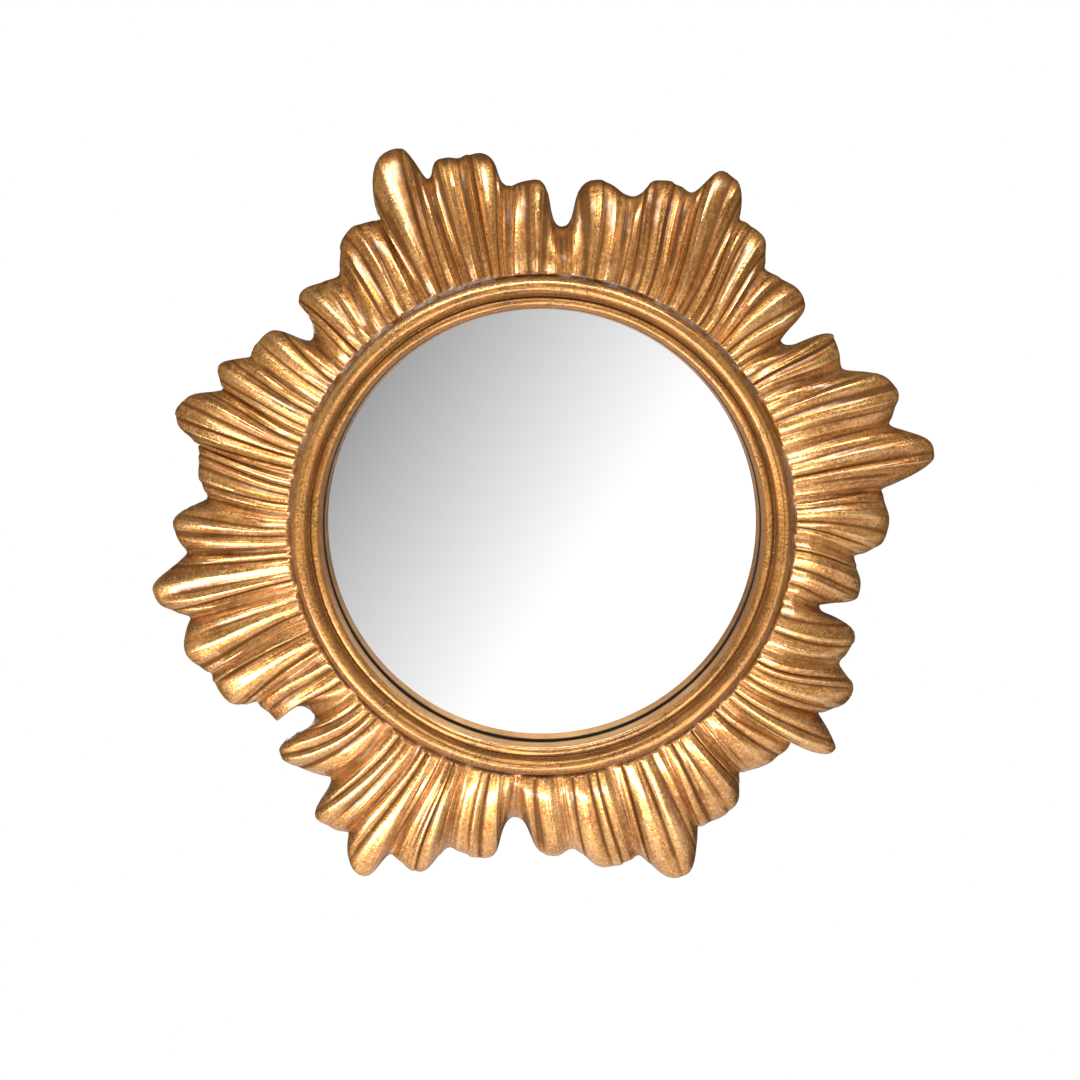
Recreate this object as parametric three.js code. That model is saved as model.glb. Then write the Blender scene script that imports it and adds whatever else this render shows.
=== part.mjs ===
import * as THREE from 'three';

// Wall mirror with a cast leaf frame. Millimetres, +Z up, the front faces -Y.
// The origin is the centre of the back, on the wall plane; "height" below means distance out from the wall.

// Mirror glass and the board behind it
const GLASS_RADIUS = 115.5;
const GLASS_THICKNESS = 4;
const BOARD_THICKNESS = 5;
const FIT_GAP = 0.3;
const DISC_SEGMENTS = 48;

// Moulded ring round the glass
const REBATE_RADIUS = 116;
const REBATE_HEIGHT = BOARD_THICKNESS + GLASS_THICKNESS + 2 * FIT_GAP;
const SIGHT_RADIUS = 111.2;
const LIP_HEIGHT = 21.6;
const INNER_BEAD_RADIUS = 113.4;
const INNER_BEAD_HEIGHT = 23.2;
const BEAD_GROOVE_RADIUS = 116.4;
const BEAD_GROOVE_HEIGHT = 21.4;
const OUTER_BEAD_RADIUS = 120.9;
const OUTER_BEAD_HEIGHT = 26.2;
const OUTER_BEAD_HALF_WIDTH = 4.4;
const ROOT_RADIUS = 126.4;
const ROOT_GROOVE_HEIGHT = 18.4;

// Leaf surface: heights at the ring, at the crest of the pillow and at the edge, for a lobe and for a valley
const LOBE_ROOT_HEIGHT = 22.2;
const LOBE_CREST_HEIGHT = 23.6;
const LOBE_EDGE_HEIGHT = 8;
const VALLEY_ROOT_HEIGHT = 20.2;
const VALLEY_CREST_HEIGHT = 20.5;
const VALLEY_EDGE_HEIGHT = 5.5;
const CREST_PLACE = 0.2;
const LOBE_ROUNDNESS = 0.55;
const VALLEY_ROUNDNESS = 0.85;
const EDGE_DRAFT = 1.2;
const EDGE_SCALLOP = 0.3;
const REED_DEPTH_RATIO = 0.44;
const REED_DEPTH_LIMIT = 3.4;
const SADDLE_SHARE = 0.4;
const DEEP_NOTCH = 16;
const LEAF_ROWS = [0.05, 0.22, 0.48, 0.74, 0.92, 1];

// Lobes clockwise from the top as seen from the front, x and z in millimetres, directions in degrees from up.
// In order: tip, end of the lobe; face, way its end faces; shoulders, breadth of the end on both sides of it;
// flow, way the carving runs at the tip; notch, valley after the lobe; bight, roundness of that notch on its
// two sides; turn, how far the valley's root is turned on along the ring; reeds, ridges carved on the lobe.
const LOBES = [
  [[27, 173.5], 2, [15, 9], 0, [44, 166], [8, 8], 1.5, 3],
  [[58.5, 173.5], 3, [8, 7], 20, [73, 168], [6, 6], 3, 4],
  [[91.5, 176.9], 31, [9, 15], 27, [98.5, 154.5], [3, 4], 3, 4],
  [[109.5, 146.3], 50, [7, 6], 45, [111.5, 130.5], [3, 4], 1, 3],
  [[131.5, 114.3], 78, [9, 7], 62, [120.5, 95], [3, 8], -2, 4],
  [[145, 98.5], 20, [8, 3], 52, [151.3, 82], [4, 5], -3.5, 3],
  [[178.8, 71.7], 56, [15, 6], 76, [176.5, 53.7], [3, 4], -1.5, 4],
  [[199, 41], 71, [10, 12], 84, [174, 19.7], [3, 4], -0.5, 4],
  [[177.5, 1.5], 92, [8, 13], 106, [161, -14.5], [2, 3], -4, 4],
  [[163.7, -33.3], 100, [8, 7], 115, [144, -40.5], [3, 6], -1, 4],
  [[162, -56.5], 95, [10, 6], 92, [155, -70.5], [4, 4], 4, 3],
  [[162.3, -84.3], 100, [5, 10], 104, [145, -97.5], [1, 1], 3.5, 4],
  [[153.8, -116], 122, [3, 10], 117, [131, -113.2], [2, 4], 3, 3],
  [[118, -124.3], 152, [6, 8], 131, [104.3, -129.7], [2, 2], 0, 3],
  [[100.4, -148.9], 140, [8, 9], 148, [83, -159.5], [2, 2], -1.5, 4],
  [[73.5, -187.1], 165, [12, 10], 160, [51, -175.5], [4, 4], 0, 4],
  [[36, -181], 172, [7, 10], 162, [16, -171.7], [6, 6], 1, 4],
  [[3, -174.6], 188, [7, 10], 176, [-14.5, -154.6], [10, 10], 0.5, 2],
  [[-31, -176.2], 183, [12, 8], 180, [-49, -171], [5, 5], 1.5, 4],
  [[-66, -183.6], 188, [7, 7], 191, [-80, -175], [5, 5], -1, 4],
  [[-96, -185.7], 205, [8, 13], 206, [-103, -162.7], [2, 2], -3, 3],
  [[-119, -154.3], 222, [9, 7], 226, [-111.8, -132.8], [5, 3], -2, 3],
  [[-138, -118], 262, [8, 7], 254, [-119.5, -98.8], [5, 17], -1, 4],
  [[-138.6, -100.6], 224, [3, 4], 218, [-148.8, -91.4], [2, 2], 1.5, 3],
  [[-164.3, -89.8], 228, [8, 11], 230, [-172.3, -76], [2, 2], 3, 3],
  [[-184.5, -65.3], 243, [8, 9], 248, [-182.5, -46.7], [3, 3], 1, 3],
  [[-200.7, -32.8], 262, [10, 8], 261, [-183, -12.5], [4, 4], 0, 4],
  [[-188.7, 3], 275, [7, 8], 271, [-171.3, 16.2], [3, 4], -1.5, 3],
  [[-174.6, 33], 280, [9, 5], 285, [-174.3, 42.8], [1, 1], -1, 4],
  [[-184.8, 60.5], 292, [9, 13], 288, [-161.7, 71], [3, 2], -1.5, 5],
  [[-162.3, 82.8], 300, [5, 5], 299, [-147, 87.4], [2, 2], -1, 3],
  [[-135.5, 100], 336, [9, 6], 313, [-116, 96], [4, 9], 0, 3],
  [[-121.5, 117], 290, [6, 7], 299, [-101.7, 127.5], [4, 4], -1, 4],
  [[-98, 147], 308, [6.5, 9], 311, [-81.3, 154.7], [4, 1], 0, 4],
  [[-72.3, 188.6], 345, [20, 8], 346, [-56.5, 174.5], [3, 4], 0, 4],
  [[-50.5, 183.6], 352, [5, 5], 349, [-41, 184.2], [3, 3], 0, 2],
  [[-30, 186], 4, [6, 11], 350, [-15.5, 171], [9, 5], -2, 3],
  [[-3, 173.5], 5, [7, 10.5], 0, [10, 151.5], [9, 9], 1, 3],
].map(([tip, face, shoulders, flow, notch, bight, turn, reeds]) => (
  { tip, face, shoulders, flow, notch, bight, turn, reeds }
));

// Finishes
const GILDING = new THREE.MeshStandardMaterial({ color: 0xb27837, roughness: 0.38, metalness: 0.8 });
const SILVERING = new THREE.MeshStandardMaterial({ color: 0xe4e8ea, roughness: 0.03, metalness: 1 });
const FIBREBOARD = new THREE.MeshStandardMaterial({ color: 0x7a5f45, roughness: 0.9, metalness: 0 });

const turns = (degrees) => (degrees * Math.PI) / 180;
const mix = (a, b, t) => a + (b - a) * t;
const add = (p, q, k) => [p[0] + q[0] * k, p[1] + q[1] * k];
const outward = (degrees) => [Math.sin(turns(degrees)), Math.cos(turns(degrees))];
const onward = (degrees) => [Math.cos(turns(degrees)), -Math.sin(turns(degrees))];
const bearing = (p) => (Math.atan2(p[0], p[1]) * 180) / Math.PI;
const smooth = (t) => t * t * (3 - 2 * t);

// Angle b brought to within half a turn of angle a
function near(a, b) {
  return a + ((((b - a + 180) % 360) + 360) % 360) - 180;
}

const lobeAt = (i) => LOBES[(i + LOBES.length) % LOBES.length];

// Way the notch after lobe i opens
function notchFlow(i) {
  const before = lobeAt(i).flow;
  return (before + near(before, lobeAt(i + 1).flow)) / 2;
}

// Place on the ring, in degrees, where the valley after lobe i begins
function valleyRoot(i) {
  return bearing(lobeAt(i).notch) + lobeAt(i).turn;
}

function bezier(a, b, c, d, t) {
  const k = 1 - t;
  const part = (n) => k * k * k * a[n] + 3 * k * k * t * b[n] + 3 * k * t * t * c[n] + t * t * t * d[n];
  return [part(0), part(1)];
}

// Point of the outline at u across lobe i: 0 is the notch before it, 0.5 the tip, 1 the notch after it
function outline(i, u) {
  const lobe = lobeAt(i);
  const end = onward(lobe.face);
  const aside = Math.abs(2 * u - 1);
  if (u < 0.5) {
    const before = lobeAt(i - 1);
    const leave = add(before.notch, onward(notchFlow(i - 1)), before.bight[1]);
    return bezier(lobe.tip, add(lobe.tip, end, -lobe.shoulders[0]), leave, before.notch, aside);
  }
  const arrive = add(lobe.notch, onward(notchFlow(i)), -lobe.bight[0]);
  return bezier(lobe.tip, add(lobe.tip, end, lobe.shoulders[1]), arrive, lobe.notch, aside);
}

// Line the carving follows from the ring to the outline, leaving the ring squarely and ending along the lobe;
// reeds end a little further out than flutes
function flowLine(i, u, rise) {
  const from = valleyRoot(i - 1);
  const place = mix(from, near(from, valleyRoot(i)), u);
  const start = add([0, 0], outward(place), ROOT_RADIUS);
  const tipFlow = lobeAt(i).flow;
  const sideFlow = u < 0.5 ? notchFlow(i - 1) : notchFlow(i);
  const endFlow = mix(tipFlow, near(tipFlow, sideFlow), Math.abs(2 * u - 1));
  const leave = outward(place);
  const arrive = outward(endFlow);
  const end = add(outline(i, u), arrive, EDGE_SCALLOP * (rise - 0.6));
  const length = Math.hypot(end[0] - start[0], end[1] - start[1]);
  const at = (s) => {
    const p = add([0, 0], start, 2 * s ** 3 - 3 * s ** 2 + 1);
    const q = add(p, leave, length * (s ** 3 - 2 * s ** 2 + s));
    return add(add(q, end, 3 * s ** 2 - 2 * s ** 3), arrive, length * (s ** 3 - s ** 2));
  };
  return { at, length };
}

// Depth of the valley after lobe i as a share of the full one, shallow where its notch hardly cuts in
function saddle(i) {
  const reach = (p) => Math.hypot(p[0], p[1]);
  const recess = (reach(lobeAt(i).tip) + reach(lobeAt(i + 1).tip)) / 2 - reach(lobeAt(i).notch);
  return Math.min(1, Math.max(0.15, recess / DEEP_NOTCH));
}

// Height of the pillowed leaf between its reeds, at s along the flow line
function pillow(i, u, s) {
  const swell = 1 - saddle(u < 0.5 ? i - 1 : i) * (1 - smooth(Math.sin(Math.PI * u) ** 0.8));
  const lift = 0.9 * Math.sin(2.4 * i);
  const root = mix(VALLEY_ROOT_HEIGHT, LOBE_ROOT_HEIGHT, swell);
  const crest = mix(VALLEY_CREST_HEIGHT, LOBE_CREST_HEIGHT + lift, swell);
  const edge = mix(VALLEY_EDGE_HEIGHT, LOBE_EDGE_HEIGHT, swell);
  if (s < CREST_PLACE) {
    const rise = s / CREST_PLACE;
    return mix(root, crest, rise * (1.5 - 0.5 * rise ** 2));
  }
  const fall = 1 - ((s - CREST_PLACE) / (1 - CREST_PLACE)) ** 1.5;
  return mix(edge, crest, fall ** mix(VALLEY_ROUNDNESS, LOBE_ROUNDNESS, swell));
}

// Depth of the flutes at s along the flow line, deeper at the top of the frame than at its foot
function fluteDepth(i, s, length) {
  const breadth = mix(5, 7.5, Math.min(1, (s * length) / 40));
  const fade = 1 - 0.5 * smooth(Math.max(0, (s - 0.6) / 0.4));
  const height = 0.86 + 0.18 * Math.cos(turns(lobeAt(i).flow));
  return Math.min(REED_DEPTH_LIMIT, REED_DEPTH_RATIO * breadth) * fade * height;
}

// Places across lobe i of its flutes and reeds, a little uneven as carved by hand
function carvedPlaces(i) {
  const count = lobeAt(i).reeds;
  const places = [];
  for (let j = 0; j < count; j += 1) {
    const sway = j === 0 ? 0 : 0.2 * Math.sin(5.1 * i + 2.3 * j);
    places.push({ u: (j + sway) / count, rise: 0 });
    places.push({ u: (j + 0.5 + 0.16 * Math.sin(3.7 * i + 1.9 * j)) / count, rise: 1 });
  }
  return places;
}

// Closed cross-section of the frame at one place round it, as points [x, z, height]
function frameSection(i, u, rise) {
  const flow = flowLine(i, u, rise);
  const root = flow.at(0);
  const around = bearing(root);
  const ring = (radius, height) => [...add([0, 0], outward(around), radius), height];
  const slope = 0.66 * OUTER_BEAD_HALF_WIDTH;
  const beadSide = mix(BEAD_GROOVE_HEIGHT, OUTER_BEAD_HEIGHT, 0.75);
  const section = [
    ring(REBATE_RADIUS, 0),
    ring(REBATE_RADIUS, REBATE_HEIGHT),
    ring(SIGHT_RADIUS + 0.3, REBATE_HEIGHT),
    ring(SIGHT_RADIUS, LIP_HEIGHT),
    ring(INNER_BEAD_RADIUS, INNER_BEAD_HEIGHT),
    ring(BEAD_GROOVE_RADIUS, BEAD_GROOVE_HEIGHT),
    ring(OUTER_BEAD_RADIUS - slope, beadSide),
    ring(OUTER_BEAD_RADIUS, OUTER_BEAD_HEIGHT),
    ring(OUTER_BEAD_RADIUS + slope, beadSide),
    ring(OUTER_BEAD_RADIUS + OUTER_BEAD_HALF_WIDTH, BEAD_GROOVE_HEIGHT),
    [...root, ROOT_GROOVE_HEIGHT],
  ];
  for (const s of LEAF_ROWS) {
    const share = u === 0 ? SADDLE_SHARE : 1;
    const carve = share * (rise - 0.6) * fluteDepth(i, s, flow.length);
    section.push([...flow.at(s), pillow(i, u, s) + carve]);
  }
  const rim = flow.at(1);
  section.push([...add(rim, outward(bearing(rim)), -EDGE_DRAFT), 0]);
  return section;
}

// Skin over closed sections set round in a ring
function ringSkin(sections) {
  const rows = sections[0].length;
  const points = sections.flat().flatMap(([x, z, height]) => [x, -height, z]);
  const faces = [];
  sections.forEach((section, column) => {
    const next = ((column + 1) % sections.length) * rows;
    const here = column * rows;
    for (let row = 0; row < rows; row += 1) {
      const on = (row + 1) % rows;
      faces.push(here + row, next + row, here + on);
      faces.push(here + on, next + row, next + on);
    }
  });
  const geometry = new THREE.BufferGeometry();
  geometry.setAttribute('position', new THREE.Float32BufferAttribute(points, 3));
  geometry.setIndex(faces);
  geometry.computeVertexNormals();
  return geometry;
}

function leafFrame() {
  const sections = LOBES.flatMap((lobe, i) => carvedPlaces(i).map(({ u, rise }) => frameSection(i, u, rise)));
  return ringSkin(sections);
}

// Disc facing the front, its back at the given height above the wall
function disc(thickness, backHeight) {
  const geometry = new THREE.CylinderGeometry(GLASS_RADIUS, GLASS_RADIUS, thickness, DISC_SEGMENTS);
  geometry.translate(0, -backHeight - thickness / 2, 0);
  return geometry;
}

function named(name, geometry, material) {
  const mesh = new THREE.Mesh(geometry, material);
  mesh.name = name;
  return mesh;
}

const mirror = new THREE.Group();
mirror.name = 'wall_mirror';
mirror.add(named('leaf_frame', leafFrame(), GILDING));
mirror.add(named('mirror_glass', disc(GLASS_THICKNESS, BOARD_THICKNESS + FIT_GAP), SILVERING));
mirror.add(named('back_board', disc(BOARD_THICKNESS, 0), FIBREBOARD));

export default mirror;
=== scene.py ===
import math
import bpy
import numpy as np
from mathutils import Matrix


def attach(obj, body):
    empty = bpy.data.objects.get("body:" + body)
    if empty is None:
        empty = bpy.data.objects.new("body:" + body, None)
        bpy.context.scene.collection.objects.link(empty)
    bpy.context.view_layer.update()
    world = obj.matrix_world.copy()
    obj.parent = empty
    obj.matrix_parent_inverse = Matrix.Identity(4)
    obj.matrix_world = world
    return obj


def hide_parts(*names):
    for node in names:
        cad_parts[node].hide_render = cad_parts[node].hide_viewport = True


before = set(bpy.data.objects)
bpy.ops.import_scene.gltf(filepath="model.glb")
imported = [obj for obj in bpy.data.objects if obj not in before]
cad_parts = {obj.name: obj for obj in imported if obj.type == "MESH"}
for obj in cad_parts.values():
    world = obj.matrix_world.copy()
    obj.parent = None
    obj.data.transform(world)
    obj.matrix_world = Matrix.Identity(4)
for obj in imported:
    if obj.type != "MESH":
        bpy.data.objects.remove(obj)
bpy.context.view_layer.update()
scene = bpy.context.scene
mm = 0.001  # sizes below are in millimetres


class Wire:  # a value in a node tree that takes the usual signs
    def __init__(self, tree, socket):
        self.tree = tree
        self.socket = socket

    def node(self, kind, inputs=None, out=0, **settings):  # any node, its inputs by name or place
        made = self.tree.nodes.new(kind)
        for key, value in settings.items():
            setattr(made, key, value)
        for key, value in (inputs or {}).items():
            if isinstance(value, Wire):
                self.tree.links.new(value.socket, made.inputs[key])
            else:
                made.inputs[key].default_value = value
        return Wire(self.tree, made.outputs[out])

    def sum(self, other, operation, swap=False):
        pair = (other, self) if swap else (self, other)
        return self.node("ShaderNodeMath", {0: pair[0], 1: pair[1]}, operation=operation)

    def __add__(self, other):
        return self.sum(other, "ADD")

    def __radd__(self, other):
        return self.sum(other, "ADD", True)

    def __sub__(self, other):
        return self.sum(other, "SUBTRACT")

    def __rsub__(self, other):
        return self.sum(other, "SUBTRACT", True)

    def __mul__(self, other):
        return self.sum(other, "MULTIPLY")

    def __pow__(self, other):
        return self.sum(other, "POWER")

    def ramp(self, low, high):  # 0 below low, 1 above high, smooth between
        ends = {"Value": self, "From Min": low, "From Max": high}
        return self.node("ShaderNodeMapRange", ends, interpolation_type="SMOOTHSTEP")

    def blend(self, a, b):  # colour a at 0, colour b at 1
        return self.node("ShaderNodeMix", {0: self, 6: a, 7: b}, out=2, data_type="RGBA")


def newMaterial(name):
    material = bpy.data.materials.new(name)
    material.use_nodes = True
    tree = material.node_tree
    shader = tree.nodes["Principled BSDF"]
    return material, Wire(tree, shader.outputs[0]), shader


def linkTo(wire, shader, name):
    wire.tree.links.new(wire.socket, shader.inputs[name])


def meshPiece(name, points, faces, smoothAngle):
    mesh = bpy.data.meshes.new(name)
    mesh.from_pydata([tuple(p) for p in points], [], faces)
    mesh.validate()
    mesh.shade_smooth()
    mesh.set_sharp_from_angle(angle=math.radians(smoothAngle))
    piece = bpy.data.objects.new(name, mesh)
    scene.collection.objects.link(piece)
    return piece


def place(piece, node, slot):
    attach(piece, "root")
    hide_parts(node)


# Camera of the photograph, its focal length and centre in pixels of the picture
shot = {"target": (0, -22, 0), "distance": 600, "above": 7.5, "sensor": 36,
        "picture": 1080, "focal": 1200, "centre": (542, 532.5)}
tilt = math.radians(shot["above"])
towards = (0, -math.cos(tilt), math.sin(tilt))
camera = bpy.data.objects.new("camera", bpy.data.cameras.new("camera"))
scene.collection.objects.link(camera)
camera.location = [mm * (t + shot["distance"] * d) for t, d in zip(shot["target"], towards)]
camera.rotation_euler = (math.pi / 2 - tilt, 0, 0)
camera.data.sensor_width = shot["sensor"]
camera.data.lens = shot["sensor"] * shot["focal"] / shot["picture"]
camera.data.shift_x = (0.5 * shot["picture"] - shot["centre"][0]) / shot["picture"]
camera.data.shift_y = (shot["centre"][1] - 0.5 * shot["picture"]) / shot["picture"]
camera.data.clip_start = 0.01
scene.camera = camera
print("camera set, lens", round(camera.data.lens, 1))

# Cast frame: moulded ring and leaves
cast = {
    "rebateRadius": 116, "rebateHeight": 9.6, "sightRadius": 111.2, "wallDraft": 0.2,
    "innerBead": (113.6, 21.5, 2.3, 1.9),  # radius, height, half width, rise
    "outerBead": (120.9, 21.3, 4.4, 4.9),
    "rootRadius": 126.4, "rootGroove": 20.5,
    "rootHeights": (20.2, 22.2), "crestHeights": (20.5, 23.6), "edgeHeights": (5.5, 8),  # valley, lobe
    "crestPlace": 0.2, "crestVariety": 0.9, "falls": (0.85, 0.55), "edgeDraft": 1.2, "scallop": 0.3,
    "depthRatio": 0.44, "depthLimit": 3.4, "reedBreadth": (5, 7.5), "fadeFrom": 0.6, "deepNotch": 16,
    "saddleCut": 0.4, "roundPower": 2.2, "crispPower": 1.7, "nickDepth": 0.3,
    "stepsPerReed": 8, "smoothAngle": 60,
}
variety = {"flutePlace": 0.2, "ridgePlace": 0.16, "cut": (0.4, 1.1), "crisp": 0.16}
leafRows = np.concatenate([np.linspace(0, 0.05, 4), np.linspace(0.075, 0.88, 36), np.linspace(0.9, 1, 11)])

# Lobes clockwise from the top: tip, way its end faces, breadth of the end on both sides, way the carving runs,
# notch after it, roundness of that notch on both sides, turn of the valley along the ring, ridges carved on it
lobeParts = ("tip", "face", "shoulders", "flow", "notch", "bight", "turn", "reeds")
lobeRows = [
    ((27, 173.5), 2, (15, 9), 0, (44, 166), (8, 8), 1.5, 3),
    ((58.5, 173.5), 3, (8, 7), 20, (73, 168), (6, 6), 3, 4),
    ((91.5, 176.9), 31, (9, 15), 27, (98.5, 154.5), (3, 4), 3, 4),
    ((109.5, 146.3), 50, (7, 6), 45, (111.5, 130.5), (3, 4), 1, 3),
    ((131.5, 114.3), 78, (9, 7), 62, (120.5, 95), (3, 8), -2, 4),
    ((145, 98.5), 20, (8, 3), 52, (151.3, 82), (4, 5), -3.5, 3),
    ((178.8, 71.7), 56, (15, 6), 76, (176.5, 53.7), (3, 4), -1.5, 4),
    ((199, 41), 71, (10, 12), 84, (174, 19.7), (3, 4), -0.5, 4),
    ((177.5, 1.5), 92, (8, 13), 106, (161, -14.5), (2, 3), -4, 4),
    ((163.7, -33.3), 100, (8, 7), 115, (144, -40.5), (3, 6), -1, 4),
    ((162, -56.5), 95, (10, 6), 92, (155, -70.5), (4, 4), 4, 3),
    ((162.3, -84.3), 100, (5, 10), 104, (145, -97.5), (1, 1), 3.5, 4),
    ((153.8, -116), 122, (3, 10), 117, (131, -113.2), (2, 4), 3, 3),
    ((118, -124.3), 152, (6, 8), 131, (104.3, -129.7), (2, 2), 0, 3),
    ((100.4, -148.9), 140, (8, 9), 148, (83, -159.5), (2, 2), -1.5, 4),
    ((73.5, -187.1), 165, (12, 10), 160, (51, -175.5), (4, 4), 0, 4),
    ((36, -181), 172, (7, 10), 162, (16, -171.7), (6, 6), 1, 4),
    ((3, -174.6), 188, (7, 10), 176, (-14.5, -154.6), (10, 10), 0.5, 2),
    ((-31, -176.2), 183, (12, 8), 180, (-49, -171), (5, 5), 1.5, 4),
    ((-66, -183.6), 188, (7, 7), 191, (-80, -175), (5, 5), -1, 4),
    ((-96, -185.7), 205, (8, 13), 206, (-103, -162.7), (2, 2), -3, 3),
    ((-119, -154.3), 222, (9, 7), 226, (-111.8, -132.8), (5, 3), -2, 3),
    ((-138, -118), 262, (8, 7), 254, (-119.5, -98.8), (5, 17), -1, 4),
    ((-138.6, -100.6), 224, (3, 4), 218, (-148.8, -91.4), (2, 2), 1.5, 3),
    ((-164.3, -89.8), 228, (8, 11), 230, (-172.3, -76), (2, 2), 3, 3),
    ((-184.5, -65.3), 243, (8, 9), 248, (-182.5, -46.7), (3, 3), 1, 3),
    ((-200.7, -32.8), 262, (10, 8), 261, (-183, -12.5), (4, 4), 0, 4),
    ((-188.7, 3), 275, (7, 8), 271, (-171.3, 16.2), (3, 4), -1.5, 3),
    ((-174.6, 33), 280, (9, 5), 285, (-174.3, 42.8), (1, 1), -1, 4),
    ((-184.8, 60.5), 292, (9, 13), 288, (-161.7, 71), (3, 2), -1.5, 5),
    ((-162.3, 82.8), 300, (5, 5), 299, (-147, 87.4), (2, 2), -1, 3),
    ((-135.5, 100), 336, (9, 6), 313, (-116, 96), (4, 9), 0, 3),
    ((-121.5, 117), 290, (6, 7), 299, (-101.7, 127.5), (4, 4), -1, 4),
    ((-98, 147), 308, (6.5, 9), 311, (-81.3, 154.7), (4, 1), 0, 4),
    ((-72.3, 188.6), 345, (20, 8), 346, (-56.5, 174.5), (3, 4), 0, 4),
    ((-50.5, 183.6), 352, (5, 5), 349, (-41, 184.2), (3, 3), 0, 2),
    ((-30, 186), 4, (6, 11), 350, (-15.5, 171), (9, 5), -2, 3),
    ((-3, 173.5), 5, (7, 10.5), 0, (10, 151.5), (9, 9), 1, 3),
]
lobes = [dict(zip(lobeParts, row)) for row in lobeRows]


def lobeAt(i):
    return lobes[i % len(lobes)]


def outward(degrees):
    return np.array([math.sin(math.radians(degrees)), math.cos(math.radians(degrees))])


def onward(degrees):
    return np.array([math.cos(math.radians(degrees)), -math.sin(math.radians(degrees))])


def bearing(p):
    return math.degrees(math.atan2(p[0], p[1]))


def near(a, b):  # angle b within half a turn of angle a
    return a + (b - a + 180) % 360 - 180


def lerp(a, b, t):
    return a + (b - a) * t


def smooth(t):
    t = np.clip(t, 0, 1)
    return t * t * (3 - 2 * t)


def notchFlow(i):
    before = lobeAt(i)["flow"]
    return (before + near(before, lobeAt(i + 1)["flow"])) / 2


def valleyRoot(i):
    return bearing(lobeAt(i)["notch"]) + lobeAt(i)["turn"]


def outline(i, u):  # from the notch before lobe i (0) over its tip (0.5) to the notch after it (1)
    lobe = lobeAt(i)
    tip = np.array(lobe["tip"])
    end = onward(lobe["face"])
    t = abs(2 * u - 1)
    if u < 0.5:
        notch = np.array(lobeAt(i - 1)["notch"])
        shoulder = tip - lobe["shoulders"][0] * end
        leave = notch + lobeAt(i - 1)["bight"][1] * onward(notchFlow(i - 1))
    else:
        notch = np.array(lobe["notch"])
        shoulder = tip + lobe["shoulders"][1] * end
        leave = notch - lobe["bight"][0] * onward(notchFlow(i))
    k = 1 - t
    return k ** 3 * tip + 3 * k * k * t * shoulder + 3 * k * t * t * leave + t ** 3 * notch


def flowLine(i, u, rise, s):  # points along the carving, from the ring to the outline
    around = lerp(valleyRoot(i - 1), near(valleyRoot(i - 1), valleyRoot(i)), u)
    start = cast["rootRadius"] * outward(around)
    side = notchFlow(i - 1) if u < 0.5 else notchFlow(i)
    flow = lobeAt(i)["flow"]
    arrive = outward(lerp(flow, near(flow, side), abs(2 * u - 1)))
    end = outline(i, u) + arrive * cast["scallop"] * (smooth(rise) - 0.6)
    length = np.hypot(*(end - start))
    weights = (2 * s ** 3 - 3 * s ** 2 + 1, s ** 3 - 2 * s ** 2 + s, 3 * s ** 2 - 2 * s ** 3, s ** 3 - s ** 2)
    ends = (start, outward(around) * length, end, arrive * length)
    return sum(w[:, None] * e for w, e in zip(weights, ends)), length, around


def saddle(i):  # depth of the valley after lobe i, shallow where its notch hardly cuts in
    tips = (np.hypot(*lobeAt(i)["tip"]) + np.hypot(*lobeAt(i + 1)["tip"])) / 2
    return min(1, max(0.15, (tips - np.hypot(*lobeAt(i)["notch"])) / cast["deepNotch"]))


def swelling(i, u):  # low in the saddle of a notch, 1 along the middle of a lobe
    return 1 - saddle(i - 1 if u < 0.5 else i) * (1 - smooth(max(0.0, math.sin(math.pi * u)) ** 0.8))


def pillow(i, u, s):  # height of the leaf between its reeds
    swell = swelling(i, u)
    root = lerp(*cast["rootHeights"], swell)
    low, high = cast["crestHeights"]
    crest = lerp(low, high + cast["crestVariety"] * math.sin(2.4 * i), swell)
    edge = lerp(*cast["edgeHeights"], swell)
    rise = np.clip(s / cast["crestPlace"], 0, 1)
    rise = rise * (1.5 - 0.5 * rise ** 2)
    fall = 1 - np.clip((s - cast["crestPlace"]) / (1 - cast["crestPlace"]), 0, 1) ** 1.5
    outer = lerp(edge, crest, fall ** lerp(*cast["falls"], swell))
    return np.where(s < cast["crestPlace"], lerp(root, crest, rise), outer)


def fluteDepth(i, s, length):  # deeper at the top than at the foot of the frame
    breadth = lerp(*cast["reedBreadth"], np.clip(s * length / 40, 0, 1))
    fade = 1 - 0.5 * smooth((s - cast["fadeFrom"]) / (1 - cast["fadeFrom"]))
    depth = np.minimum(cast["depthLimit"], cast["depthRatio"] * breadth) * fade
    return depth * (0.86 + 0.18 * math.cos(math.radians(lobeAt(i)["flow"])))


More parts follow.
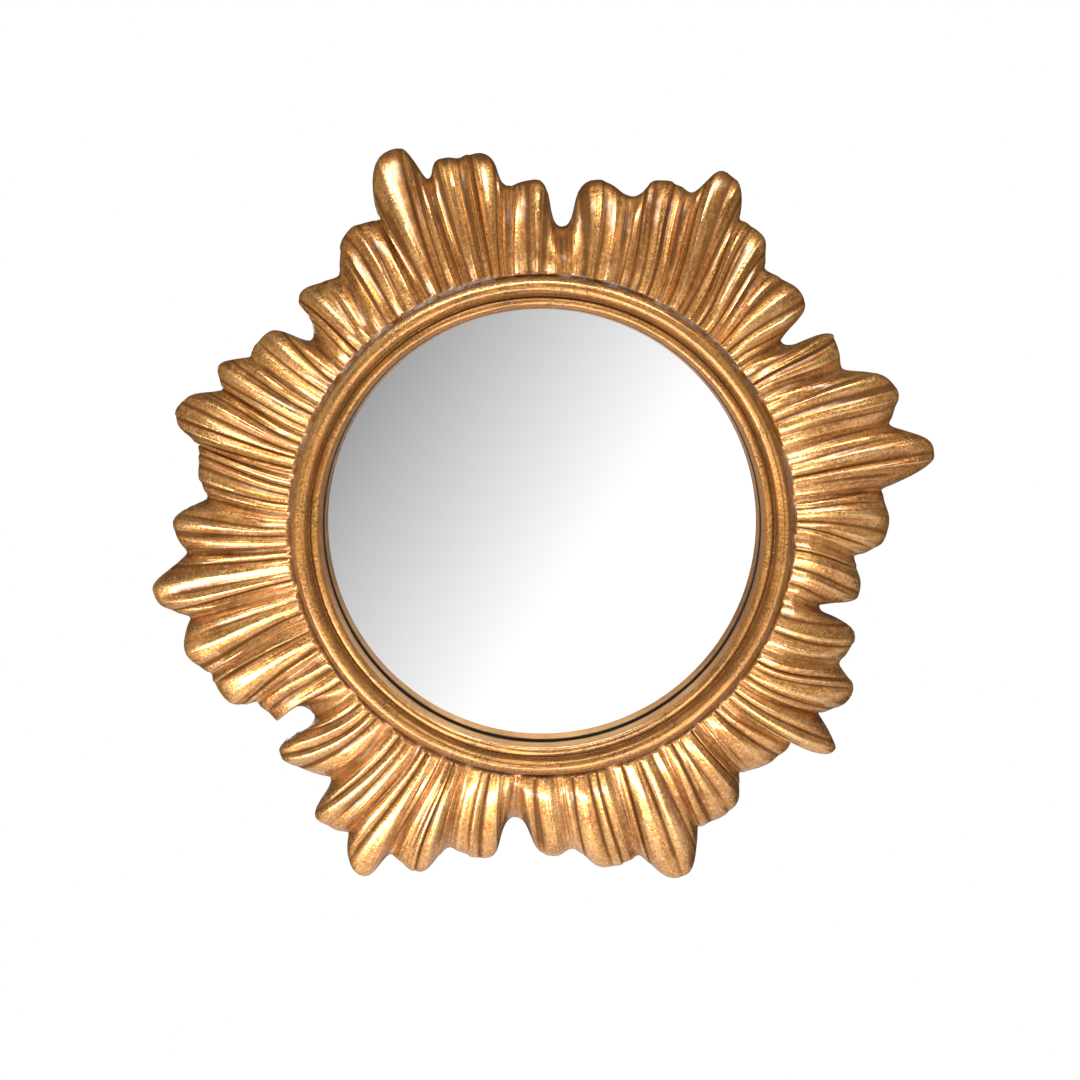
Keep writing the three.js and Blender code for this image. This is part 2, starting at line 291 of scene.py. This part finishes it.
def carvedColumns():  # lobe, place across it, rise from flute to ridge, crispness, share of the cut, fine line
    columns = []
    half = cast["stepsPerReed"] // 2
    for i, lobe in enumerate(lobes):
        count = lobe["reeds"]
        up = math.cos(math.radians(lobe["flow"]))
        inner = range(1, count)  # flutes between the two notches
        flutes = [0] + [j + variety["flutePlace"] * math.sin(5.1 * i + 2.3 * j) for j in inner] + [count]
        cuts = [1] + [lerp(*variety["cut"], abs(math.sin(2.9 * i + 4.7 * j))) for j in inner] + [1]
        for j in range(count):
            ridge = j + 0.5 + variety["ridgePlace"] * math.sin(3.7 * i + 1.9 * j)
            crisp = 0.3 + 0.54 * max(0, up) ** 3 + 0.18 * min(0, up)  # sharp at the top, round at the foot
            crisp += variety["crisp"] * math.sin(1.3 * i + 2.1 * j)
            for t in range(2 * half):
                after = 0 if t < half else 1
                rise = 2 - t / half if after else t / half
                place = lerp(flutes[j + after], ridge, rise)
                onSaddle = j + after in (0, count)
                cut = cast["saddleCut"] if onSaddle else cuts[j + after]
                share = lerp(cut, (cuts[j] + cuts[j + 1]) / 2, rise)
                nick = max(0, math.sin(7.7 * i + 3.1 * j + 1 - after)) if rise == 0.5 else 0
                columns.append((i, place / count, rise, 1 if onSaddle else crisp, share, nick))
    return columns


def ringProfile():  # radius, height, glaze and painted shade, rubbing and painted highlight, painted black shadow by the glass, matt
    back, sight = cast["rebateRadius"], cast["sightRadius"]
    wall = sight + cast["wallDraft"]
    profile = [(back, 0, 0.3, 0, 0, 1), (back, cast["rebateHeight"], 0.6, 0, 0, 1)]
    profile += [(wall + 0.1, cast["rebateHeight"], 1, 0, 1, 1), (wall, 11.9, 1, 0, 1, 1)]  # painted black shadow by the glass
    # painted shade on the wall over the glass, darker towards the glass
    profile += [(wall, 12.1, 0.7, 0, 0, 1), (wall, 14, 0.3, 0, 0, 0.8), (wall, 17.5, 0.3, 0, 0, 0.6)]
    profile += [(wall, 20, 0.25, 0, 0, 0.4), (sight, 21, 0.3, 0.1, 0, 0.3)]
    for name, low, high, steps in (("innerBead", 165, 18, 8), ("outerBead", 172, 6, 14)):
        radius, height, half, rise = cast[name]
        for angle in np.radians(np.linspace(low, high, steps)):
            side, top = math.cos(angle), math.sin(angle)
            side = math.copysign(abs(side) ** 0.95, side)
            place = (radius + half * side, height + rise * top ** 0.9)
            # painted shade on the bead flanks; the crests lighter where rubbed
            profile.append((*place, 0.1 + 0.6 * (1 - top) ** 2, 0.2 * top ** 8, 0, 0))
        if name == "innerBead":  # fine fillet between the beads, painted highlight along its top and painted shade at its feet
            profile += [(116.1, 21.3, 1, 0, 0, 0), (116.3, 22.3, 0.1, 0.6, 0, 0)]
            profile += [(116.5, 22.3, 0.1, 0.6, 0, 0), (116.65, 21.6, 0.9, 0, 0, 0)]
    return profile + [(125.5, 21.3, 0.6, 0, 0, 0), (125.9, 20.7, 0.9, 0, 0, 0)]


# Where the finish is brown, rubbed or worn off, and where shade and light are painted: radii and lengths in
# millimetres, places as shares of a leaf
wearAndPaintedLight = {
    # painted shade on the wall over the glass, and painted light on it at the foot of the frame
    "wallRadius": 112, "wallPaintedShade": 0.85, "wallPaintedLight": 0.6,
    "shoulder": (121.6, 124.9), "highlightTurn": 30,  # painted highlight strongest this many degrees left of the top
    "bareRadius": 125.6, "bareLength": 1.4, "bareAtFoot": 0.2,
    # painted shade on the roots and the tips of the leaves in the upper half
    "seatDark": 0.8, "valleyDark": 0.3, "rootPaintedShade": 0.6, "rootLength": 10, "nickDark": 0.7,
    "edgeDark": 0.6, "edgeFrom": 0.94, "tipDark": 0.25, "topTipPaintedShade": 0.6, "tipFrom": 0.82, "rimDark": 0.4,
}
markNames = ("flute", "rise", "crisp", "glazeAndPaintedShade", "rubAndPaintedHighlight", "across", "along", "bare", "paintedGapShadow", "matt", "ring")


def ringColumn(ring, around, crisp):  # points and marks of the ring at one angle
    facing = math.cos(math.radians(around))  # 1 at the top, -1 at the foot
    upper, lower = max(0, facing), max(0, -facing)
    inner, outer = wearAndPaintedLight["shoulder"]
    paintedHighlight = max(0, math.cos(math.radians(around + wearAndPaintedLight["highlightTurn"]))) ** 1.5
    points, marks = [], []
    for radius, height, glazeAndPaintedShade, rubAndPaintedHighlight, paintedGapShadow, matt in ring:
        x, z = radius * outward(around)
        points.append((x, -height, z))
        bare = lerp(wearAndPaintedLight["bareAtFoot"], 1, upper) if radius > wearAndPaintedLight["bareRadius"] else 0
        plain = 1
        if radius < wearAndPaintedLight["wallRadius"]:  # the wall over the glass: painted light at the foot and painted shade elsewhere
            glazeAndPaintedShade = max(glazeAndPaintedShade, wearAndPaintedLight["wallPaintedShade"] * (1 - lower))
            rubAndPaintedHighlight = max(rubAndPaintedHighlight, wearAndPaintedLight["wallPaintedLight"] * lower)
            plain = 1 - 0.9 * lower
        elif inner < radius < outer:  # outer shoulder: painted highlight at the upper left
            rubAndPaintedHighlight = max(rubAndPaintedHighlight, paintedHighlight * math.sin(math.pi * (radius - inner) / (outer - inner)))
            plain = 1 - 0.9 * rubAndPaintedHighlight
        marks.append((0, 0, crisp, glazeAndPaintedShade, rubAndPaintedHighlight, radius * 2, x, bare, paintedGapShadow, matt, plain))
    return points, marks


def leafColumn(i, u, rise, crisp, share, nick):  # points, marks and angle of one line of the carving
    line, length, around = flowLine(i, u, rise, leafRows)
    height = pillow(i, u, leafRows)
    height[0] = cast["rootGroove"]
    along, across = leafRows * length, i * 7.3 + u * 60
    flute = fluteDepth(i, leafRows, length) * smooth(leafRows / 0.03) * share
    cut = flute / cast["depthLimit"]
    ridge = lerp(1 - (1 - rise) ** cast["roundPower"], rise ** cast["crispPower"], crisp)
    start = 0.06 + 0.1 * (1 + math.sin(5 * i + 31 * u))
    scratch = nick * smooth((leafRows - start) / 0.12) * (1 - smooth((leafRows - 0.72) / 0.2))
    upper = max(0, math.cos(math.radians(around)))
    glazeAndPaintedShade = np.max([
        wearAndPaintedLight["seatDark"] - smooth(leafRows / 0.04),
        (1 - ridge) ** lerp(1.2, 2.2, crisp) * np.minimum(1, 2.4 * cut),
        wearAndPaintedLight["valleyDark"] * (1 - swelling(i, u)) * (1 - leafRows),
        # painted shade on the roots of the upper leaves
        wearAndPaintedLight["rootPaintedShade"] * upper * (1 - smooth(along / wearAndPaintedLight["rootLength"])),
        wearAndPaintedLight["nickDark"] * scratch,
        wearAndPaintedLight["edgeDark"] * smooth((leafRows - wearAndPaintedLight["edgeFrom"]) / 0.05),
        # patina at every tip, and painted shade on the tips of the upper leaves
        (wearAndPaintedLight["tipDark"] + wearAndPaintedLight["topTipPaintedShade"] * upper) * smooth((leafRows - wearAndPaintedLight["tipFrom"]) / 0.17),
    ], axis=0)
    bare = lerp(wearAndPaintedLight["bareAtFoot"], 1, upper) * (1 - smooth(along / wearAndPaintedLight["bareLength"]))
    values = (flute, rise, crisp, glazeAndPaintedShade, ridge ** 6 * cut, across, along, bare, 0, 0, 0)
    marks = np.stack(np.broadcast_arrays(*values), -1)
    points = np.stack([line[:, 0], cast["nickDepth"] * scratch - height, line[:, 1]], -1)
    rim = line[-1] - cast["edgeDraft"] * line[-1] / np.hypot(*line[-1])  # back edge, drawn in a little
    points = np.vstack([points, (rim[0], 0, rim[1])])
    marks = np.vstack([marks, (0, 0, 0, wearAndPaintedLight["rimDark"], 0, across, length, 0, 0, 0.5, 0)])
    return points, marks, around


def castFrame():
    ring = ringProfile()
    points, marks = [], []
    for i, u, rise, crisp, share, nick in carvedColumns():
        leafPoints, leafMarks, around = leafColumn(i, u, rise, crisp, share, nick)
        ringPoints, ringMarks = ringColumn(ring, around, crisp)
        points.append(np.vstack([ringPoints, leafPoints]))
        marks.append(np.vstack([ringMarks, leafMarks]))
    wide, tall = len(points), len(points[0])
    grid = np.arange(wide * tall).reshape(wide, tall)
    across, on = np.roll(grid, -1, 0), np.roll(grid, -1, 1)
    both = np.roll(across, -1, 1)
    faces = np.stack([grid, across, both, on], -1).reshape(-1, 4).tolist()
    piece = meshPiece("castFrame", np.vstack(points) * mm, faces, cast["smoothAngle"])
    for name, values in zip(markNames, np.vstack(marks).astype(np.float32).T):
        attribute = piece.data.attributes.new(name, "FLOAT", "POINT")
        attribute.data.foreach_set("value", np.ascontiguousarray(values))
    return piece


# Geometry nodes that carve the reeds, the chisel strokes and the wobble of the casting
carving = {"Flute Depth": 0.001, "Ridge Share": 0.6, "Stroke Depth": 0.0004, "Stroke Pitch": 0.14,
           "Wobble Depth": 0.0005, "Wobble Scale": 55.0, "Seed": 3.0}


def carvingTree(material):
    tree = bpy.data.node_groups.new("reedCarving", "GeometryNodeTree")
    tree.is_modifier = True
    tree.interface.new_socket("Geometry", in_out="INPUT", socket_type="NodeSocketGeometry")
    tree.interface.new_socket("Geometry", in_out="OUTPUT", socket_type="NodeSocketGeometry")
    for name, value in carving.items():
        tree.interface.new_socket(name, in_out="INPUT", socket_type="NodeSocketFloat").default_value = value
    chosen = tree.interface.new_socket("Material", in_out="INPUT", socket_type="NodeSocketMaterial")
    chosen.default_value = material
    entry = tree.nodes.new("NodeGroupInput")
    source = Wire(tree, entry.outputs["Geometry"])
    given = {name: Wire(tree, entry.outputs[name]) for name in carving}

    def mark(name):
        return source.node("GeometryNodeInputNamedAttribute", {"Name": name}, data_type="FLOAT")

    rise = mark("rise")
    sharp = rise ** cast["crispPower"]
    rounded = 1 - (1 - rise) ** cast["roundPower"]
    ridge = rounded + (sharp - rounded) * mark("crisp")
    carve = (ridge - given["Ridge Share"]) * mark("flute") * given["Flute Depth"]
    strokeWay = {0: mark("across") * given["Stroke Pitch"], 1: mark("along") * 0.012, 2: given["Seed"]}
    strokePlace = source.node("ShaderNodeCombineXYZ", strokeWay)
    stroke = source.node("ShaderNodeTexNoise", {"Vector": strokePlace, "Scale": 1.0, "Detail": 0.0}) - 0.5
    where = source.node("GeometryNodeInputPosition")
    swirl = {"Vector": where, "W": given["Seed"], "Scale": given["Wobble Scale"], "Detail": 1.0}
    wobble = source.node("ShaderNodeTexNoise", swirl, noise_dimensions="4D") - 0.5
    onLeaf = mark("flute").ramp(0.0, 1.2)
    front = source.node("ShaderNodeSeparateXYZ", {0: where}, out=1) * -1000
    free = front.ramp(5.0, 9.0)  # the flat back stays flat
    lift = carve + stroke * given["Stroke Depth"] * onLeaf * 2
    lift = lift + wobble * given["Wobble Depth"] * free * (onLeaf * 0.8 + 0.2)
    offset = source.node("ShaderNodeCombineXYZ", {1: lift * -1})
    moved = source.node("GeometryNodeSetPosition", {"Geometry": source, "Offset": offset})
    real = moved.node("GeometryNodeRealizeInstances", {"Geometry": moved})
    coated = {"Geometry": real, "Material": Wire(tree, entry.outputs["Material"])}
    done = real.node("GeometryNodeSetMaterial", coated)
    tree.links.new(done.socket, tree.nodes.new("NodeGroupOutput").inputs["Geometry"])
    return tree


def bake(piece, tree, values):  # runs the tree once and keeps the plain mesh
    modifier = piece.modifiers.new(tree.name, "NODES")
    modifier.node_group = tree
    for item in tree.interface.items_tree:
        if item.in_out == "INPUT" and item.name in values:
            modifier[item.identifier] = values[item.name]
    bpy.context.view_layer.update()
    made = bpy.data.meshes.new_from_object(piece.evaluated_get(bpy.context.evaluated_depsgraph_get()))
    piece.modifiers.remove(modifier)
    made.name = piece.name
    old, piece.data = piece.data, made
    bpy.data.meshes.remove(old)


# Antique gold: leaf over resin, brown glaze in the hollows, painted shade on the ring and the upper leaves,
# rubbed ridges and painted highlights, a painted black shadow by the glass, specks on the ring
gilding = {
    "gold": (0.66, 0.305, 0.08, 1), "deepGold": (0.41, 0.152, 0.029, 1), "bright": (0.88, 0.54, 0.22, 1),
    "umber": (0.065, 0.021, 0.004, 1), "ringGold": (0.23, 0.096, 0.021, 1), "bare": (0.34, 0.29, 0.26, 1),
    "fleck": (0.05, 0.032, 0.013, 1), "paintedShadowBlack": (0.004, 0.003, 0.003, 1),
    "specular": 0.1, "coatRoughness": 0.16, "coatIor": 1.62, "bumpStrength": 0.5, "bumpDepth": 0.0005,
    "frontFrom": (0.0003, 0.001),  # metres in front of the flat back
}


def gildedResin():
    material, wire, shader = newMaterial("gildedResin")

    def mark(name):
        return wire.node("ShaderNodeAttribute", out="Fac", attribute_name=name)

    where = wire.node("ShaderNodeTexCoord", out="Object")

    def noise(scale, detail, rough=0.5):
        inputs = {"Vector": where, "Scale": scale, "Detail": detail, "Roughness": rough}
        return wire.node("ShaderNodeTexNoise", inputs)

    cloud = noise(38, 3).ramp(0.32, 0.68)
    grit = noise(620, 3)
    patch = noise(160, 4, 0.6)
    streakPlace = wire.node("ShaderNodeCombineXYZ", {0: mark("across") * 0.22, 1: mark("along") * 0.025})
    streak = wire.node("ShaderNodeTexNoise", {"Vector": streakPlace, "Scale": 1.0, "Detail": 4.0})
    linePlace = wire.node("ShaderNodeCombineXYZ", {0: mark("across") * 0.15, 1: mark("along") * 0.012, 2: 5.0})
    line = wire.node("ShaderNodeTexNoise", {"Vector": linePlace, "Scale": 1.0, "Detail": 1.0}) - 0.5
    line = line.node("ShaderNodeMath", {0: line}, operation="ABSOLUTE")  # 0 on a chisel arris
    front = (wire.node("ShaderNodeSeparateXYZ", {0: where}, out="Y") * -1).ramp(*gilding["frontFrom"])
    streak = 0.5 + (streak - 0.5) * front  # no chisel marks on the flat back
    line = 0.1 + (line - 0.1) * front
    ring = mark("ring")
    glazeAndPaintedShade = mark("glazeAndPaintedShade") + (patch - 0.5) * 0.5 + (streak - 0.5) * 0.3 + line.ramp(0.08, 0.24) * 0.3
    glazeAndPaintedShade = glazeAndPaintedShade.ramp(0.2, 0.95)
    rubAndPaintedHighlight = (mark("rubAndPaintedHighlight") + (patch - 0.5) * 0.7 + (1 - line.ramp(0, 0.04)) * 0.25).ramp(0.25, 0.9)
    tone = cloud.blend(gilding["deepGold"], gilding["gold"])
    tone = (streak.ramp(0.35, 0.75) * 0.5).blend(tone, gilding["gold"])
    grain = noise(1500, 2)
    tone = (grain.ramp(0.52, 0.66) * noise(75, 2).ramp(0.3, 0.6) * 0.5).blend(tone, gilding["bright"])
    tone = ((1 - grain.ramp(0.34, 0.46)) * 0.45).blend(tone, gilding["umber"])
    tone = (grit.ramp(0.54, 0.7) * 0.55).blend(tone, gilding["bright"])
    tone = ((1 - grit.ramp(0.3, 0.45)) * 0.32).blend(tone, gilding["umber"])
    # rubbed gold, and painted highlights on the ring
    tone = (rubAndPaintedHighlight * 0.75).blend(tone, gilding["bright"])
    # brown glaze, and painted shade on the ring and the upper leaves
    tone = (glazeAndPaintedShade * 0.92).blend(tone, gilding["umber"])
    tone = (ring * 0.8).blend(tone, gilding["ringGold"])
    bare = mark("bare") * patch.ramp(0.36, 0.52) * noise(24, 2).ramp(0.4, 0.52)
    tone = (bare * 0.9).blend(tone, gilding["bare"])
    fleck = noise(800, 3, 0.7).ramp(0.52, 0.6) * noise(45, 3).ramp(0.4, 0.55) * (ring * 0.8 + 0.2)
    tone = (fleck * 0.8).blend(tone, gilding["fleck"])
    paintedGapShadow = mark("paintedGapShadow")
    matt = mark("matt")
    # painted black shadow on the wall by the glass
    tone = paintedGapShadow.blend(tone, gilding["paintedShadowBlack"])
    linkTo(tone, shader, "Base Color")
    metal = 0.86 - glazeAndPaintedShade * 0.7 - bare * 0.4 - fleck * 0.4
    linkTo(metal * (1 - paintedGapShadow) * (1 - matt * 0.3) * (1 - ring * 0.15), shader, "Metallic")
    rough = 0.33 + glazeAndPaintedShade * 0.22 + (patch - 0.5) * 0.3 + (grit - 0.5) * 0.3 + bare * 0.2
    linkTo(rough - rubAndPaintedHighlight * 0.08 + matt * 0.3 + ring * 0.03, shader, "Roughness")
    linkTo((0.85 - glazeAndPaintedShade * 0.85 - bare * 0.6) * (1 - matt) * (1 - ring * 0.65), shader, "Coat Weight")
    shader.inputs["Specular IOR Level"].default_value = gilding["specular"]
    shader.inputs["Coat Roughness"].default_value = gilding["coatRoughness"]
    shader.inputs["Coat IOR"].default_value = gilding["coatIor"]
    height = grain * 0.3 + grit * 0.85 + patch * 0.7 + streak * 2 - line * 3.5
    relief = {"Strength": gilding["bumpStrength"], "Distance": gilding["bumpDepth"], "Height": height}
    linkTo(wire.node("ShaderNodeBump", relief), shader, "Normal")
    return material


goldMaterial = gildedResin()
leafFrame = castFrame()
bake(leafFrame, carvingTree(goldMaterial), {**carving, "Material": goldMaterial})
leafFrame.data.set_sharp_from_angle(angle=math.radians(cast["smoothAngle"]))
place(leafFrame, "leaf_frame", "gilded_resin")
print("cast frame", len(leafFrame.data.polygons), "faces")


def turned(name, profile, steps):  # closed solid turned about the axis of the glass
    points, faces = [(0, -profile[0][1], 0)], []
    angles = [2 * math.pi * k / steps for k in range(steps)]
    for radius, height in profile:
        points += [(radius * math.sin(a), -height, radius * math.cos(a)) for a in angles]
    points.append((0, -profile[-1][1], 0))
    for k in range(steps):
        on = (k + 1) % steps
        faces.append((0, 1 + k, 1 + on))
        for row in range(len(profile) - 1):
            low, high = 1 + row * steps, 1 + (row + 1) * steps
            faces.append((low + k, high + k, high + on, low + on))
        top = 1 + (len(profile) - 1) * steps
        faces.append((len(points) - 1, top + on, top + k))
    return meshPiece(name, np.array(points) * mm, faces, 30)


# Mirror glass
glass = {"radius": 115.5, "back": 5.3, "front": 9.3, "ground": 0.6, "steps": 192,
         "silver": ((0.93, 0.935, 0.93, 1), (0.95, 0.95, 0.945, 1))}


def silvering():
    material, wire, shader = newMaterial("silvering")
    where = wire.node("ShaderNodeTexCoord", out="Object")
    haze = wire.node("ShaderNodeTexNoise", {"Vector": where, "Scale": 14.0, "Detail": 3.0})
    linkTo(haze.ramp(0.2, 0.8).blend(*glass["silver"]), shader, "Base Color")
    linkTo(haze.ramp(0.3, 0.9) * 0.012 + 0.006, shader, "Roughness")
    shader.inputs["Metallic"].default_value = 1
    return material


edge = glass["radius"] - glass["ground"]
glassProfile = [(edge, glass["back"]), (glass["radius"], glass["back"] + glass["ground"]),
                (glass["radius"], glass["front"] - glass["ground"]), (edge, glass["front"])]
silveredGlass = turned("silveredGlass", glassProfile, glass["steps"])
silveredGlass.data.materials.append(silvering())
place(silveredGlass, "mirror_glass", "mirror")
print("glass", len(silveredGlass.data.polygons), "faces")

# Board behind the glass
board = {"radius": 115.5, "thickness": 5, "eased": 0.8, "steps": 128, "fibre": (0.12, 0.066, 0.032, 1),
         "brown": ((0.20, 0.118, 0.06, 1), (0.25, 0.155, 0.082, 1))}


def fibreboard():
    material, wire, shader = newMaterial("fibreboard")
    where = wire.node("ShaderNodeTexCoord", out="Object")
    strands = {"Vector": where, "Scale": 900.0, "Detail": 4.0, "Distortion": 1.5}
    fibre = wire.node("ShaderNodeTexNoise", strands)
    cloud = wire.node("ShaderNodeTexNoise", {"Vector": where, "Scale": 26.0, "Detail": 3.0})
    tone = cloud.ramp(0.3, 0.7).blend(*board["brown"])
    linkTo((fibre.ramp(0.45, 0.75) * 0.5).blend(tone, board["fibre"]), shader, "Base Color")
    linkTo(0.72 + fibre * 0.2, shader, "Roughness")
    relief = {"Strength": 0.3, "Distance": 0.0003, "Height": fibre}
    linkTo(wire.node("ShaderNodeBump", relief), shader, "Normal")
    return material


edge = board["radius"] - board["eased"]
boardProfile = [(edge, 0), (board["radius"], board["eased"]),
                (board["radius"], board["thickness"] - board["eased"]), (edge, board["thickness"])]
backBoard = turned("backBoard", boardProfile, board["steps"])
backBoard.data.materials.append(fibreboard())
place(backBoard, "back_board", "fibreboard")
print("board", len(backBoard.data.polygons), "faces")

# Floor, well below the hung mirror
floor = {"side": 1.7, "height": -1.0, "tone": (0.93, 0.925, 0.915, 1), "roughness": 0.8}
half = floor["side"] / 2
corners = [(x * half, y * half, floor["height"]) for x, y in ((-1, -1), (1, -1), (1, 1), (-1, 1))]
floorPiece = meshPiece("floor", corners, [(0, 1, 2, 3)], 30)
floorMaterial, _, floorShader = newMaterial("paleFloor")
floorShader.inputs["Base Color"].default_value = floor["tone"]
floorShader.inputs["Roughness"].default_value = floor["roughness"]
floorPiece.data.materials.append(floorMaterial)

# Studio: white surround, dim where it is only mirrored, and soft boxes
studio = {
    "boxes": [
        {"name": "keyBox", "at": (0.1, -0.72, 1.0), "size": (1.5, 0.27), "power": 17},
        {"name": "lowBox", "at": (-0.35, -1.05, -0.62), "size": (1.9, 0.25), "power": 30},
        {"name": "backBox", "at": (-0.3, 1.6, -0.1), "size": (1.2, 0.8), "power": 20},
    ],
    "shade": 0.06, "above": 0.18, "below": 0.8, "aside": 0.5,
    "slant": (2.6, -1.77, 0.72), "slantLimits": (0.3, 1.15),  # to the right, upwards, level straight ahead
}
for box in studio["boxes"]:
    light = bpy.data.lights.new(box["name"], "AREA")
    light.shape = "RECTANGLE"
    light.size, light.size_y = box["size"]
    light.energy = box["power"]
    lamp = bpy.data.objects.new(box["name"], light)
    lamp.location = box["at"]
    lamp.rotation_euler = (-lamp.location).to_track_quat("-Z", "Y").to_euler()
    scene.collection.objects.link(lamp)


def surround():
    world = bpy.data.worlds.new("studio")
    world.use_nodes = True
    tree = world.node_tree
    tree.nodes.clear()
    start = Wire(tree, None)
    way = start.node("ShaderNodeTexCoord", out="Generated")
    split = way.node("ShaderNodeSeparateXYZ", {0: way})
    x, y, z = (Wire(tree, split.socket.node.outputs[k]) for k in range(3))
    right, up, ahead = studio["slant"]
    slant = x * right + z * up + ahead  # what the glass shows: grey at the upper left, white at the lower right
    darkest, lightest = studio["slantLimits"]
    slant = slant.node("ShaderNodeClamp", {"Value": slant, "Min": darkest, "Max": lightest})
    low = (z * -1).ramp(0.06, 0.3) * (1 - (z * -1).ramp(0.5, 0.8))  # bright band below the eye
    broad = low * (studio["below"] - studio["above"]) + studio["above"]
    broad = broad * (1 + (x * x).ramp(0.1, 0.5) * studio["aside"])
    around = broad + (slant - broad) * (y * -1).ramp(0.84, 0.94)
    level = (around - studio["shade"]) * (y * -1).ramp(-0.15, 0.5) + studio["shade"]
    seen = start.node("ShaderNodeLightPath", out="Is Camera Ray")
    level = level + (1 - level) * seen
    grey = start.node("ShaderNodeCombineColor", {0: level, 1: level, 2: level})
    light = start.node("ShaderNodeBackground", {"Color": grey, "Strength": 1.0})
    tree.links.new(light.socket, tree.nodes.new("ShaderNodeOutputWorld").inputs["Surface"])
    return world


scene.world = surround()
scene.view_settings.view_transform = "Standard"
scene.view_settings.look = "None"
print("studio set")
